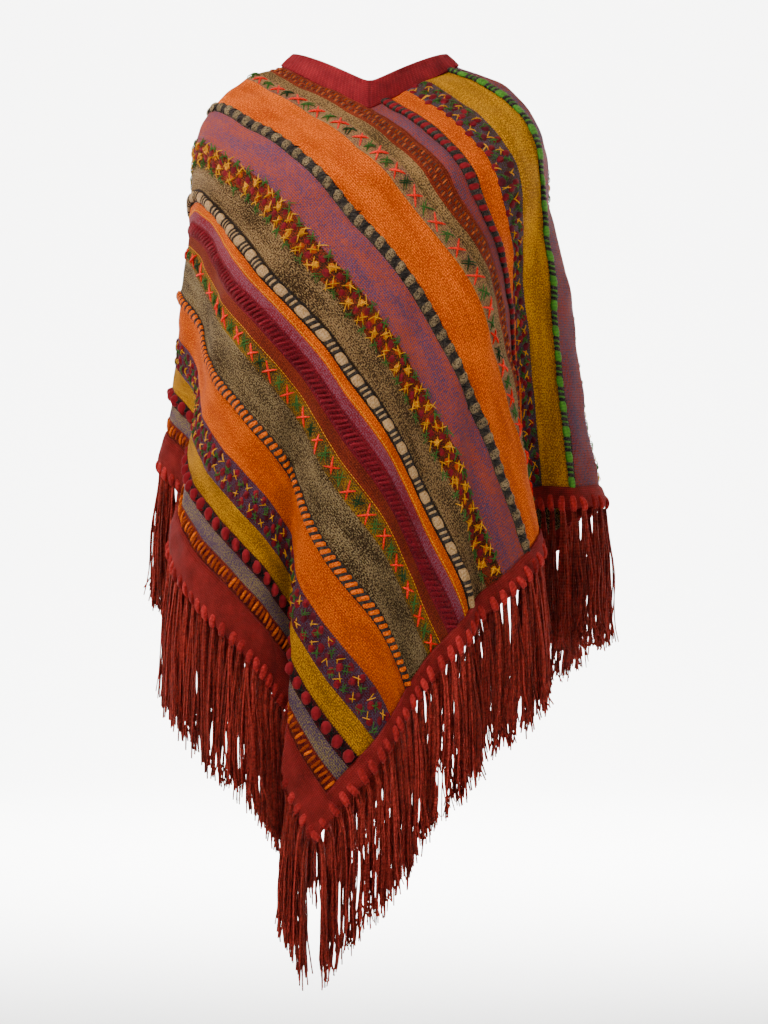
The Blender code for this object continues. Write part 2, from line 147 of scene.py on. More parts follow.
DYES = {
    "rust": dye(128, 46, 26),
    "dark rust": dye(88, 28, 16),
    "burnt orange": dye(168, 66, 16),
    "tan": dye(140, 104, 62),
    "olive": dye(62, 48, 28),
    "lilac": dye(100, 66, 56),
    "orange": dye(224, 96, 0),
    "deep orange": dye(156, 55, 0),
    "black": dye(36, 32, 30),
    "soot": dye(66, 58, 50),
    "purple": dye(80, 58, 82),
    "coral": dye(148, 62, 46),
    "taupe": dye(138, 106, 68),
    "umber": dye(44, 30, 16),
    "grey": dye(134, 110, 74),
    "raspberry": dye(120, 24, 34),
    "rose": dye(124, 64, 76),
    "plum": dye(80, 20, 30),
    "crimson": dye(120, 20, 28),
    "olive gold": dye(140, 98, 22),
    "mustard": dye(204, 136, 6),
    "dark mustard": dye(124, 78, 6),
    "yellow": dye(226, 150, 24),
    "peach": dye(204, 96, 44),
    "cream": dye(172, 136, 94),
    "bobble tan": dye(130, 108, 76),
    "red": dye(250, 40, 24),
    "pom red": dye(122, 24, 30),
    "green": dye(60, 98, 40),
    "dark green": dye(36, 62, 30),
    "leaf": dye(70, 126, 34),
    "mauve": dye(78, 58, 74),
    "dusty rose": dye(132, 52, 44),
    "hem red": dye(126, 32, 30),
    "hem dark": dye(78, 18, 14),
    "band red": dye(148, 36, 42),
    "band dark": dye(98, 20, 26),
    "fringe red": dye(158, 48, 40),
    "fringe dark": dye(92, 26, 18),
    "fringe bright": dye(158, 38, 36),
}

# The stripes outwards from the front seam. The first seven on the right panel are the front ones.
# width in mm, ground, fleck, raised work
LEFT_STRIPES = (
    (23, "rust", "dark rust", "short floats"),
    (14, "tan", "olive", None),
    (19, "lilac", "tan", "crosses"),
    (52, "orange", "deep orange", None),
    (16, "black", "soot", "bobbles"),
    (46, "purple", "coral", None),
    (25, "rust", "umber", "blossoms"),
    (33, "taupe", "umber", None),
    (16, "umber", "black", "cream cord"),
    (11, "orange", "deep orange", "dots"),
    (14, "raspberry", "rose", None),
    (20, "plum", "raspberry", "twisted floats"),
    (17, "rust", "dark rust", "dots"),
    (23, "olive gold", "olive", "crosses"),
    (42, "grey", "umber", None),
    (15, "black", "soot", "orange cord"),
    (44, "orange", "deep orange", None),
    (37, "plum", "mauve", "flowers"),
    (26, "mustard", "dark mustard", None),
    (18, "black", "plum", "pompoms"),
    (18, "grey", "purple", None),
    (22, "plum", "rust", "orange floats"),
)
RIGHT_STRIPES = (
    (13, "mauve", "dusty rose", None),
    (15, "black", "soot", "red cord"),
    (24, "orange", "deep orange", None),
    (30, "mauve", "olive", "flowers"),
    (45, "mustard", "dark mustard", None),
    (13, "black", "soot", "green cord"),
    (62, "dusty rose", "mauve", None),
    (25, "rust", "umber", "blossoms"),
    (33, "taupe", "umber", None),
    (16, "umber", "black", "cream cord"),
    (11, "orange", "deep orange", "dots"),
    (34, "raspberry", "rose", None),
    (17, "rust", "dark rust", "dots"),
    (23, "olive gold", "olive", "crosses"),
    (42, "grey", "umber", None),
    (15, "black", "soot", "orange cord"),
    (44, "orange", "deep orange", None),
    (37, "plum", "mauve", "flowers"),
    (26, "mustard", "dark mustard", None),
    (18, "black", "plum", "pompoms"),
    (18, "grey", "purple", None),
    (20, "plum", "rust", "orange floats"),
    (52, "orange", "deep orange", None),
    (16, "black", "soot", "bobbles"),
    (46, "purple", "coral", None),
    (19, "lilac", "tan", "crosses"),
    (14, "tan", "olive", None),
    (23, "rust", "dark rust", "short floats"),
    (45, "mustard", "dark mustard", None),
    (13, "black", "soot", "green cord"),
    (90, "dusty rose", "mauve", None),
)


# ---------------------------------------------------------------- the worn form

def unit(vector):
    """The same directions at length 1."""
    return vector / np.linalg.norm(vector, axis=-1, keepdims=True)


def smooth(value):
    """Ease from 0 to 1 with level ends: 3 v squared less 2 v cubed."""
    value = np.clip(value, 0.0, 1.0)
    return value * value * (3.0 - 2.0 * value)


def around(turn, column):
    """One column of FALLS at any turn: a cubic through the rows, closed after 180 degrees."""
    at = np.array([row[1] for row in FALLS])
    value = np.array([row[column] for row in FALLS])
    at = np.concatenate((at[-2:] - 180.0, at, at[:2] + 180.0))
    value = np.concatenate((value[-2:], value, value[:2]))
    step = np.diff(at)
    slope = np.diff(value) / step
    tangent = np.zeros_like(value)
    tangent[1:-1] = (slope[:-1] * step[1:] + slope[1:] * step[:-1]) / (step[1:] + step[:-1])
    turn = np.asarray(turn) % 180.0
    row = np.clip(np.searchsorted(at, turn, side="right") - 1, 1, len(at) - 3)
    gap = step[row]
    u = (turn - at[row]) / gap
    near = value[row] * (1 + 2 * u) * (1 - u) ** 2 + gap * tangent[row] * u * (1 - u) ** 2
    far = value[row + 1] * u * u * (3 - 2 * u) - gap * tangent[row + 1] * u * u * (1 - u)
    return near + far


def low_fold(turn):
    """How far each line moves right and back by LOW_FOLD, in metres."""
    turn = np.where(turn < 90.0, turn + 180.0, turn)
    at = [row[1] for row in LOW_FOLD]
    return np.stack([np.interp(turn, at, [row[axis] / 100 for row in LOW_FOLD]) for axis in (2, 3)],
                    axis=-1)


def neck_ring(turn, side, front, back, dip=1.2, soft=0.0):
    """A ring of four nearly straight legs between two sides and a point at front and back.

    dip is the power by which the ring drops from the sides towards the points, and soft rounds the
    points, as a share of a leg.
    """
    right = np.where(turn % 180.0 < 90.0, 1.0, -1.0)
    leg = np.tan(np.radians((turn % 90.0) - 45.0))
    ahead = -leg * right > 0
    far = np.abs(leg)
    near = 1 - np.sqrt((1 - far) ** 2 + soft ** 2)
    x = right * side[0] * (1 - far ** 1.25)
    y = np.where(ahead, front[0], back[0]) * near ** 1.1
    z = side[1] + np.where(ahead, front[1] - side[1], back[1] - side[1]) * near ** dip
    return np.stack((x, y, z), axis=-1)


def bust_ring(turn):
    """The ring where the yoke ends: a squared oval, shared out evenly along each quarter."""
    twice = np.radians(2 * turn)
    turn = (turn - SLIP_ALL - SLIP_FRONT * np.cos(twice) - SLIP_SIDES * np.sin(twice)) % 180.0
    quarter = turn // 45.0
    share = (turn - 45.0 * quarter) / 45.0
    share = np.where(quarter % 2 == 0, share, 1 - share)
    angle = np.linspace(0, np.pi / 2, 400)
    ring = np.zeros(turn.shape + (3,))
    for depth, quarters in ((-BUST_FRONT, (0, 3)), (BUST_BACK, (1, 2))):
        x = BUST_HALF_WIDTH * np.sin(angle) ** (2 / BUST_SQUARENESS)
        y = depth * np.cos(angle) ** (2 / BUST_SQUARENESS)
        run = np.concatenate(([0.0], np.cumsum(np.hypot(np.diff(x), np.diff(y)))))
        run /= run[-1]
        part = np.isin(quarter, quarters)
        ring[part, 0] = np.interp(share, run, x)[part]
        ring[part, 1] = np.interp(share, run, y)[part]
    ring[..., 0] *= np.where(turn < 90.0, 1.0, -1.0)
    ring[..., 2] = BUST_Z
    return ring


def fall_lines(turn):
    """The lines at these turns, top to bottom, and the radius in the flat cone of each point.

    The yoke leaves the neck hole at a slope and rounds over the shoulder as a quarter of a squared
    oval. Below the bust the line goes through its chest place to its hem place, then straight down.
    The radius grows by the length of the line, because the cloth doesn't stretch along it.
    """
    neck = neck_ring(turn, NECK_SIDE, NECK_FRONT, NECK_BACK)
    bust = bust_ring(turn)
    facing = np.cos(np.radians(2 * turn))
    right = 0.5 + 0.5 * np.sin(np.radians(2 * turn))
    front = ROUND_FRONT_RIGHT * right + ROUND_FRONT_LEFT * (1 - right)
    flat_on = ROUND_BACK + (front - ROUND_BACK) * smooth(0.5 + 2.0 * facing)
    away = np.sqrt(facing ** 2 + 0.01)
    power = (ROUND_SIDE + (flat_on - ROUND_SIDE) * np.sqrt(away))[:, None]
    slope = (SLOPE_SIDE + (SLOPE_FRONT - SLOPE_SIDE) * away)[:, None]
    sweep = np.linspace(0, np.pi / 2, 120)[None, :-1]
    out = np.sin(sweep) ** (2 / power)
    down = (1 - slope) * (1 - np.cos(sweep) ** (2 / power)) + slope * out
    yoke = neck[:, None] + (bust - neck)[:, None] * np.stack((out, out, down), axis=-1)
    tuck = yoke[:, 0] - yoke[:, 4]
    tuck *= 0.02 / np.linalg.norm(tuck, axis=1)[:, None]

    z = np.linspace(BUST_Z, LOWEST_Z, 260)
    to_chest = smooth((BUST_Z - z) / (BUST_Z - CHEST_Z))[None]
    below = (CHEST_Z - z) / (CHEST_Z - HEM_Z)
    reach = np.clip(below, 0, 1)
    to_hem = 0.35 * smooth(reach) + 0.65 * reach ** 1.25 + 0.12 * np.clip(below - 1, 0, 2)
    hang = np.empty((len(turn), len(z), 3))
    for axis in (0, 1):
        high = bust[:, axis, None]
        chest = around(turn, 2 + axis)[:, None] / 100
        hem = around(turn, 4 + axis)[:, None] / 100
        hang[..., axis] = high + (chest - high) * to_chest + (hem - chest) * to_hem[None]
    hang[..., 2] = z
    low = smooth((CHEST_Z - 0.15 - z) / 0.40)[None, :, None]
    hang[..., :2] += low_fold(turn)[:, None] * low

    line = np.concatenate((yoke[:, :1] + tuck[:, None], yoke, hang), axis=1)
    length = np.cumsum(np.linalg.norm(np.diff(line, axis=1), axis=2), axis=1)
    run = np.concatenate((np.zeros((len(turn), 1)), length), axis=1) - 0.02
    edge = APEX / np.cos(np.radians((turn % 90.0) - 45.0))
    return line, edge[:, None] + run * (1 + around(turn, 6)[:, None] / 100)


class WornCloth:
    """The worn surface as a grid over the flat cone, read at any point of the flat cloth."""

    def __init__(self, turns=1440, rings=560):
        self.turn_step = 180.0 / turns
        self.radius = np.linspace(APEX - 0.02, 1.25, rings)
        line, radius = fall_lines(np.arange(turns) * self.turn_step)
        self.grid = np.empty((turns + 1, rings, 3))
        for k in range(turns):
            for axis in range(3):
                self.grid[k, :, axis] = np.interp(self.radius, radius[k], line[k, :, axis])
        self.grid[-1] = self.grid[0]

    def at(self, a, b):
        """The place of the flat points (a, b), by linear steps between grid points."""
        across = a + APEX
        along = PANEL_WIDTH + APEX - b
        turn = (45.0 - np.degrees(np.arctan2(across, along))) % 180.0 / self.turn_step
        ring = (np.hypot(across, along) - self.radius[0]) / (self.radius[1] - self.radius[0])
        i = np.minimum(turn.astype(int), len(self.grid) - 2)
        j = np.clip(ring.astype(int), 0, len(self.radius) - 2)
        u = (turn - i)[..., None]
        v = (ring - j)[..., None]
        upper = self.grid[i, j] * (1 - u) + self.grid[i + 1, j] * u
        lower = self.grid[i, j + 1] * (1 - u) + self.grid[i + 1, j + 1] * u
        return upper * (1 - v) + lower * v

    def outward(self, a, b, reach=0.006):
        """The outward direction at the flat points (a, b)."""
        down = self.at(a + reach, b) - self.at(a - reach, b)
        along = self.at(a, b + reach) - self.at(a, b - reach)
        return unit(np.cross(along, down))

    def place(self, a, b, lift=0.0):
        """The flat points (a, b) on the rippled cloth, lifted off it."""
        a, b, lift = np.broadcast_arrays(a, b, lift)
        return self.at(a, b) + self.outward(a, b) * (lift + ripple(a, b))[..., None]


# Small soft waves of the knit. name, waves per metre across, along, phase, height in mm
RIPPLES = (
    ("broad slant", 9.0, 5.0, 0.3, 0.9),
    ("cross slant", -7.0, 11.0, 1.7, 0.8),
    ("short", 21.0, 13.0, 2.9, 0.35),
    ("short cross", -17.0, 24.0, 4.4, 0.35),
    ("stripe pull", 34.0, 3.0, 0.9, 0.25),
)


def ripple(a, b):
    """The sum of the RIPPLES, each a sine of its waves across and along."""
    total = np.zeros(np.shape(a))
    for _, across, along, phase, height in RIPPLES:
        total = total + height / 1000 * np.sin(2 * np.pi * (across * a + along * b) + phase)
    return total


# ---------------------------------------------------------------- meshes

def add_piece(name, points, quads, material, uv=None, dyes=None, flecks=None, smooth_shade=True):
    """A mesh object at the origin from points and four-cornered faces, with its maps per point."""
    mesh = bpy.data.meshes.new(name)
    mesh.vertices.add(len(points))
    mesh.vertices.foreach_set("co", points.astype(np.float32).ravel())
    mesh.loops.add(quads.size)
    mesh.loops.foreach_set("vertex_index", quads.astype(np.int32).ravel())
    mesh.polygons.add(len(quads))
    mesh.polygons.foreach_set("loop_start", np.arange(0, quads.size, 4, dtype=np.int32))
    mesh.update(calc_edges=True)
    if uv is not None:
        layer = mesh.uv_layers.new(name="flat")
        layer.data.foreach_set("uv", uv[quads.ravel()].astype(np.float32).ravel())
    for label, values in (("dye", dyes), ("fleck", flecks)):
        if values is not None:
            layer = mesh.attributes.new(label, "FLOAT_COLOR", "POINT")
            full = np.concatenate((values, np.ones((len(values), 1))), axis=1)
            layer.data.foreach_set("color", full.astype(np.float32).ravel())
    if smooth_shade:
        mesh.shade_smooth()
    mesh.validate()
    mesh.materials.append(material)
    piece = bpy.data.objects.new(name, mesh)
    bpy.context.scene.collection.objects.link(piece)
    return piece


def grid_quads(rows, columns):
    """The faces of a grid of rows by columns points, wound towards rows x columns."""
    index = np.arange(rows * columns).reshape(rows, columns)
    return np.stack((index[:-1, :-1], index[1:, :-1], index[1:, 1:], index[:-1, 1:]),
                    axis=-1).reshape(-1, 4)


def stations(start, end, step):
    """Evenly spaced values from start to end, about one step apart."""
    return np.linspace(start, end, max(2, round(abs(end - start) / step) + 1))


class Yarns:
    """Collects closed tubes and domes that share one mesh, with a dye, a fleck and a map each."""

    def __init__(self):
        self.points = []
        self.quads = []
        self.uv = []
        self.dyes = []
        self.flecks = []
        self.count = 0

    def add_rings(self, rings, dyes, flecks, lengths):
        """Join rings of points (shape, ring, corner, 3) into closed skins with flat ends.

        dyes and flecks broadcast to (shape, ring, 3); lengths, to (shape, ring), is the distance
        along. The corners run so that the faces between rings look outwards.
        """
        shapes, count, sides = rings.shape[:3]
        index = np.arange(shapes * count * sides).reshape(shapes, count, sides) + self.count
        after = np.roll(index, -1, axis=2)
        skin = np.stack((index[:, :-1], index[:, 1:], after[:, 1:], after[:, :-1]), axis=-1)
        caps = []
        for k in range((sides - 2) // 2):
            corners = [0, 2 * k + 1, 2 * k + 2, 2 * k + 3]
            caps.append(index[:, 0][:, corners])
            caps.append(index[:, -1][:, corners[::-1]])
        self.quads.append(np.concatenate([skin.reshape(-1, 4)] + caps))
        self.points.append(rings.reshape(-1, 3))
        shape = (shapes, count, sides)
        along = np.broadcast_to(np.asarray(lengths)[..., None], shape)
        about = np.broadcast_to(np.arange(sides) / sides, shape)
        self.uv.append(np.stack((along, about), axis=-1).reshape(-1, 2))
        for store, colour in ((self.dyes, dyes), (self.flecks, flecks)):
            colour = np.broadcast_to(np.asarray(colour), (shapes, count, 3))
            store.append(np.broadcast_to(colour[:, :, None], shape + (3,)).reshape(-1, 3))
        self.count += shapes * count * sides

    def add_tubes(self, paths, normals, half_width, half_height, sides, dyes, flecks):
        """Tubes along paths (shape, point, 3): an ellipse square to the path at each point."""
        tangent = unit(np.gradient(paths, axis=1))
        side = unit(np.cross(tangent, normals))
        up = np.cross(side, tangent)
        angle = np.arange(sides) / sides * 2 * np.pi + np.pi / sides
        wide = np.broadcast_to(half_width, paths.shape[:2])[..., None, None]
        high = np.broadcast_to(half_height, paths.shape[:2])[..., None, None]
        rings = paths[:, :, None] + side[:, :, None] * np.cos(angle)[:, None] * wide
        rings = rings + up[:, :, None] * np.sin(angle)[:, None] * high
        step = np.linalg.norm(np.diff(paths, axis=1), axis=2)
        lengths = np.concatenate((np.zeros((len(paths), 1)), np.cumsum(step, axis=1)), axis=1)
        self.add_rings(rings, dyes, flecks, lengths)

    def piece(self, name, material):
        """Make the mesh of all that was added."""
        return add_piece(name, np.concatenate(self.points), np.concatenate(self.quads), material,
                         np.concatenate(self.uv), np.concatenate(self.dyes),
                         np.concatenate(self.flecks))


# ---------------------------------------------------------------- raised work on the knit

def bars(yarns, cloth, a, b, angle, length, radius, rise, dyes, flecks, points=6, sides=4, flat=1.0):
    """Short yarns laid on the cloth, each an arch whose ends sink in.

    Each goes through the flat point (a, b) at an angle to the stripes. Its lift is rise times the
    sine of the share of its length, and its radius tapers at both ends.
    """
    share = np.linspace(0, 1, points)[None]
    reach = (share - 0.5) * np.reshape(length, (-1, 1))
    turn = np.reshape(angle, (-1, 1))
    path_a = np.reshape(a, (-1, 1)) + reach * np.sin(turn)
    path_b = np.reshape(b, (-1, 1)) + reach * np.cos(turn)
    lift = np.reshape(rise, (-1, 1)) * np.sin(np.pi * share) ** 0.6 - radius * 0.3
    paths = cloth.place(path_a, path_b, lift)
    taper = 0.55 + 0.45 * np.sin(np.pi * share) ** 0.5
    yarns.add_tubes(paths, cloth.outward(path_a, path_b), radius * taper, radius * taper * flat,
                    sides, dyes[:, None], flecks[:, None])


def domes(yarns, cloth, a, b, size_a, size_b, height, dyes, flecks, rng, squareness=2.0, rough=0.0,
          sides=12, count=5):
    """Low mounds on the cloth: rings of a squared oval that shrink as the mound rises.

    Ring k stands at the sine of its angle outwards and the cosine upwards, so the side is round.
    """
    tilt = np.linspace(np.pi / 2, 0.12, count)
    out, up = np.sin(tilt) ** 0.9, np.cos(tilt)
    angle = -np.arange(sides) / sides * 2 * np.pi
    cos, sin = np.cos(angle), np.sin(angle)
    oval = (np.abs(cos) ** squareness + np.abs(sin) ** squareness) ** (-1 / squareness)
    jitter = 1 + rough * rng.uniform(-1, 1, (len(a), count, sides))
    flat_a = a[:, None, None] + size_a / 2 * out[None, :, None] * cos * oval * jitter
    flat_b = b[:, None, None] + size_b / 2 * out[None, :, None] * sin * oval * jitter
    lift = (height * up[None, :, None] - 0.0006) * (0.5 + 0.5 * jitter)
    rings = cloth.place(flat_a, flat_b, lift)
    yarns.add_rings(rings, dyes[:, None], flecks[:, None], np.zeros((1, count)))


def cord(yarns, cloth, a, start, end, blocks, width, height, slant=0.0):
    """A wrapped cord along a stripe: a row of bulges, one for each block of a repeated set.

    blocks holds (length, dye, fleck, fullness). Within a block the radius goes as the fourth root
    of the sine of the share, so the wraps are round with tight grooves between them.
    """
    shares = np.array((0.03, 0.15, 0.5, 0.85, 0.97))
    pitch = sum(block[0] for block in blocks)
    repeats = int((end - start) / pitch)
    scale = (end - start) / (repeats * pitch)
    b, full, dyes, flecks = [], [], [], []
    low = start
    for length, ground, fleck, fullness in list(blocks) * repeats:
        b.append(low + shares * length * scale)
        full.append((0.62 + 0.38 * np.sin(np.pi * shares) ** 0.5) * fullness)
        dyes.append(np.tile(DYES[ground], (len(shares), 1)))
        flecks.append(np.tile(DYES[fleck], (len(shares), 1)))
        low += length * scale
    b, full = np.concatenate(b)[None], np.concatenate(full)[None]
    sides = 8
    angle = -(np.arange(sides) + 0.5) / sides * 2 * np.pi
    across = width / 2 * np.cos(angle) * full[..., None]
    lift = height / 2 * (1 + np.sin(angle) * full[..., None]) - 0.001
    flat_b = b[..., None] + slant * np.cos(angle) * width / 2
    rings = cloth.place(a + across, flat_b, lift)
    yarns.add_rings(rings, np.concatenate(dyes)[None], np.concatenate(flecks)[None], b)


def colours(names, count):
    """The dyes of a repeating list of names."""
    return np.array([DYES[names[k % len(names)]] for k in range(count)])


def row(start, end, pitch, phase=0.5):
    """Places along a stripe, one pitch apart."""
    return np.arange(start + pitch * phase, end - pitch * 0.2, pitch)


def cross_row(yarns, cloth, a, b, size, radius, names, rng, threads=1, loose=0.10):
    """A row of cross stitches: two bundles of threads that cross at the middle.

    loose is how far each thread strays, as an angle in radians and as a share of the spread.
    """
    for arm in (-1, 1):
        for thread in range(threads):
            spread = (thread - (threads - 1) / 2) * radius * 2.6
            angle = arm * np.radians(45) + rng.normal(0, loose, len(b))
            wobble = rng.normal(0, 0.0006 + 0.004 * loose, (2, len(b)))
            length = size * rng.uniform(0.85, 1.15, len(b))
            tint = rng.uniform(0.8, 1.15, (len(b), 1))
            ink = colours(names, len(b)) * tint
            bars(yarns, cloth, a + spread * np.cos(angle) + wobble[0],
                 b - spread * np.sin(angle) + wobble[1], angle, length, radius,
                 0.0012 + (0.0013 if arm > 0 else 0.0), ink, ink * 0.6)


def work_crosses(yarns, cloth, low, high, start, end, way, rng):
    """Large cross stitches, one thick red thread each and two thin green ones, by turns."""
    middle = (low + high) / 2
    b = row(start, end, 0.0185)
    cross_row(yarns, cloth, middle, b[::2], 0.0225, 0.00140, ["red"], rng)
    cross_row(yarns, cloth, middle, b[1::2], 0.0172, 0.00088, ["green", "green", "dark green"], rng, 2, 0.16)


def work_short_floats(yarns, cloth, low, high, start, end, way, rng):
    """Two rows of short floats with a dark slit beside each."""
    for share, names in ((0.36, ("peach", "burnt orange", "rust")), (0.70, ("peach", "rust"))):
        b = row(start, end, 0.0052)
        a = np.full(len(b), low + (high - low) * share) + rng.normal(0, 0.0006, len(b))
        angle = np.radians(90 + 14 * way)
        ink = colours(names, len(b)) * rng.uniform(0.6, 1.1, (len(b), 1))
        bars(yarns, cloth, a, b, angle, 0.0064, 0.00095, 0.0010, ink, ink * 0.7)
        slit = colours(("soot",), len(b))
        bars(yarns, cloth, a, b + 0.0026, angle, 0.0054, 0.0007, 0.0002, slit, slit, 4)


def work_bobbles(yarns, cloth, low, high, start, end, way, rng):
    """A black cord with a speckled bobble on every turn."""
    middle = (low + high) / 2
    pitch = 0.0190
    cord(yarns, cloth, middle, start, end, ((0.0055, "black", "soot", 1.0),), 0.011, 0.0040, 0.5)
    b = row(start, end, pitch)
    ink = colours(("bobble tan",), len(b)) * rng.uniform(0.75, 1.1, (len(b), 1))
    domes(yarns, cloth, np.full(len(b), middle), b, 0.0148, 0.0128, 0.0052, ink,
          colours(("black",), len(b)), rng, 2.6, 0.07)
    cross_row(yarns, cloth, middle, b + pitch / 2, 0.0150, 0.0010, ["black"], rng, 2)


def work_blossoms(yarns, cloth, low, high, start, end, way, rng):
    """Golden and crimson blooms in two rows, with loose crosses along both edges."""
    width = high - low
    pitch = 0.0262
    for share, phase in ((0.30, 0.0), (0.70, 0.5)):
        b = row(start, end, pitch, 0.5 + phase)
        size = len(b)
        middle = low + width * share
        gold = colours(("mustard", "burnt orange"), size) * rng.uniform(0.7, 1.0, (size, 1))
        domes(yarns, cloth, middle + rng.normal(0, 0.001, size), b, 0.0088, 0.0084, 0.0018, gold,
              colours(("burnt orange",), size), rng, 2.4, 0.22, 10, 4)
        cross_row(yarns, cloth, middle, b, 0.0132, 0.00080, ["yellow", "mustard"], rng, 1, 0.24)
        red = colours(("crimson", "pom red"), size) * rng.uniform(0.75, 1.05, (size, 1))
        domes(yarns, cloth, middle + rng.normal(0, 0.001, size), b + pitch * 0.5, 0.0092, 0.0086,
              0.0016, red, colours(("plum",), size), rng, 2.6, 0.18, 10, 4)
    b = row(start, end, pitch)
    cross_row(yarns, cloth, low + width * 0.02, b + pitch * 0.45, 0.0125, 0.0007, ["green"], rng, 2, 0.30)
    cross_row(yarns, cloth, low + width * 0.10, b - pitch * 0.10, 0.0125, 0.0007, ["yellow"], rng, 1, 0.25)
    cross_row(yarns, cloth, low + width * 1.06, b + pitch * 0.10, 0.0120, 0.0007, ["green"], rng, 2, 0.30)
    cross_row(yarns, cloth, low + width * 0.98, b + pitch * 0.55, 0.0120, 0.0007, ["yellow"], rng, 1, 0.25)


def work_dots(yarns, cloth, low, high, start, end, way, rng):
    """A dashed line of running stitch along the stripe's far edge."""
    b = row(start, end, 0.0046)
    ink = colours(("yellow",), len(b)) * rng.uniform(0.75, 1.05, (len(b), 1))
    bars(yarns, cloth, np.full(len(b), high - 0.0012 * way), b, 0.0, 0.0034, 0.00055, 0.0004, ink, ink, 4)


def work_twisted_floats(yarns, cloth, low, high, start, end, way, rng):
    """Slanted floats over the stripe."""
    b = row(start, end, 0.0074)
    ink = colours(("raspberry",), len(b)) * rng.uniform(0.75, 1.1, (len(b), 1))
    bars(yarns, cloth, np.full(len(b), (low + high) / 2), b, np.radians(90 - 38 * way), 0.0200, 0.0021,
         0.0022, ink, ink * 0.6, 7, 6, 0.7)


def work_orange_floats(yarns, cloth, low, high, start, end, way, rng):
    """Thick orange floats straight over the stripe."""
    b = row(start, end, 0.0080)
    b = b + rng.normal(0, 0.0005, len(b))
    ink = colours(("orange", "deep orange", "burnt orange"), len(b)) * rng.uniform(0.65, 1.1, (len(b), 1))
    angle = np.radians(90 - 16 * way) + rng.normal(0, 0.10, len(b))
    length = rng.uniform(0.0135, 0.0175, len(b))
    bars(yarns, cloth, (low + high) / 2 + rng.normal(0, 0.0008, len(b)), b, angle, length, 0.00185,
         0.0020, ink, ink * 0.6, 7, 6, 0.75)


def work_flowers(yarns, cloth, low, high, start, end, way, rng):
    """Crimson tufts in three uneven rows, with small yellow and green crosses between them."""
    width = high - low
    for share, phase in ((0.18, 0.0), (0.50, 0.4), (0.82, 0.75)):
        b = row(start, end, 0.0186, 0.3 + phase)
        size = len(b)
        ink = colours(("crimson", "pom red", "plum"), size) * rng.uniform(0.75, 1.2, (size, 1))
        domes(yarns, cloth, low + width * share + rng.normal(0, 0.0016, size),
              b + rng.normal(0, 0.0014, size), 0.0108, 0.0098, 0.0026, ink, colours(("plum",), size), rng,
              2.2, 0.22, 9, 4)
    for share, phase, names in ((0.26, 0.15, ["yellow"]), (0.34, 0.65, ["green"]), (0.70, 0.60, ["yellow"]),
                                (0.78, 0.15, ["green"])):
        b = row(start, end, 0.0276, 0.3 + phase)
        b = b + rng.normal(0, 0.0012, len(b))
        twice = names[0] == "green"
        cross_row(yarns, cloth, low + width * share, b, 0.0112, 0.00068, names, rng, 2 if twice else 1, 0.28)


def work_pompoms(yarns, cloth, low, high, start, end, way, rng):
    """Round tufts on black, with a black cross stitch between them."""
    middle = (low + high) / 2
    pitch = 0.0215
    b = row(start, end, pitch)
    ink = colours(("pom red",), len(b)) * rng.uniform(0.8, 1.12, (len(b), 1))
    domes(yarns, cloth, np.full(len(b), middle), b, 0.0150, 0.0150, 0.0070, ink,
          colours(("crimson",), len(b)), rng, 2.0, 0.08, 14, 6)
    cross_row(yarns, cloth, middle, b + pitch / 2, 0.0130, 0.0011, ["black"], rng)


def work_cord(blocks, width, height, slant):
    """Raised work that is one wrapped cord."""
    def work(yarns, cloth, low, high, start, end, way, rng):
        cord(yarns, cloth, (low + high) / 2, start, end, blocks, width, height, slant)
    return work


# length, dye, fleck, fullness
CREAM_BLOCKS = ((0.0150, "cream", "tan", 1.0),) + (
    (0.0043, "black", "soot", 0.96), (0.0027, "cream", "tan", 0.90)) * 2 + ((0.0043, "black", "soot", 0.96),)
ORANGE_BLOCKS = ((0.0058, "orange", "deep orange", 1.0), (0.0044, "black", "soot", 0.92))
RED_BLOCKS = ((0.0066, "crimson", "pom red", 1.0), (0.0059, "black", "soot", 0.94))
GREEN_BLOCKS = ((0.0130, "leaf", "green", 1.0),) + (
    (0.0042, "black", "soot", 0.96), (0.0022, "green", "leaf", 0.88)) * 2 + ((0.0042, "black", "soot", 0.96),)

RAISED_WORK = {
    "crosses": work_crosses,
    "short floats": work_short_floats,
    "bobbles": work_bobbles,
    "blossoms": work_blossoms,
    "dots": work_dots,
    "twisted floats": work_twisted_floats,
    "orange floats": work_orange_floats,
    "flowers": work_flowers,
    "pompoms": work_pompoms,
    "cream cord": work_cord(CREAM_BLOCKS, 0.0135, 0.0062, 0.25),
    "orange cord": work_cord(ORANGE_BLOCKS, 0.0135, 0.0058, 0.45),
    "red cord": work_cord(RED_BLOCKS, 0.0130, 0.0058, 0.15),
    "green cord": work_cord(GREEN_BLOCKS, 0.0120, 0.0060, 0.08),
}


def raised_work(name, cloth, stripes, way, start, end, material, seed):
    """All the raised work of one panel, as one piece."""
    rng = np.random.default_rng(seed)
    yarns = Yarns()
    edge = 0.0
    for width, _, _, kind in stripes:
        far = edge + way * width / 1000
        if kind is not None:
            RAISED_WORK[kind](yarns, cloth, edge, far, start, end, way, rng)
        edge = far
    return yarns.piece(name, material)


# ---------------------------------------------------------------- cloth pieces

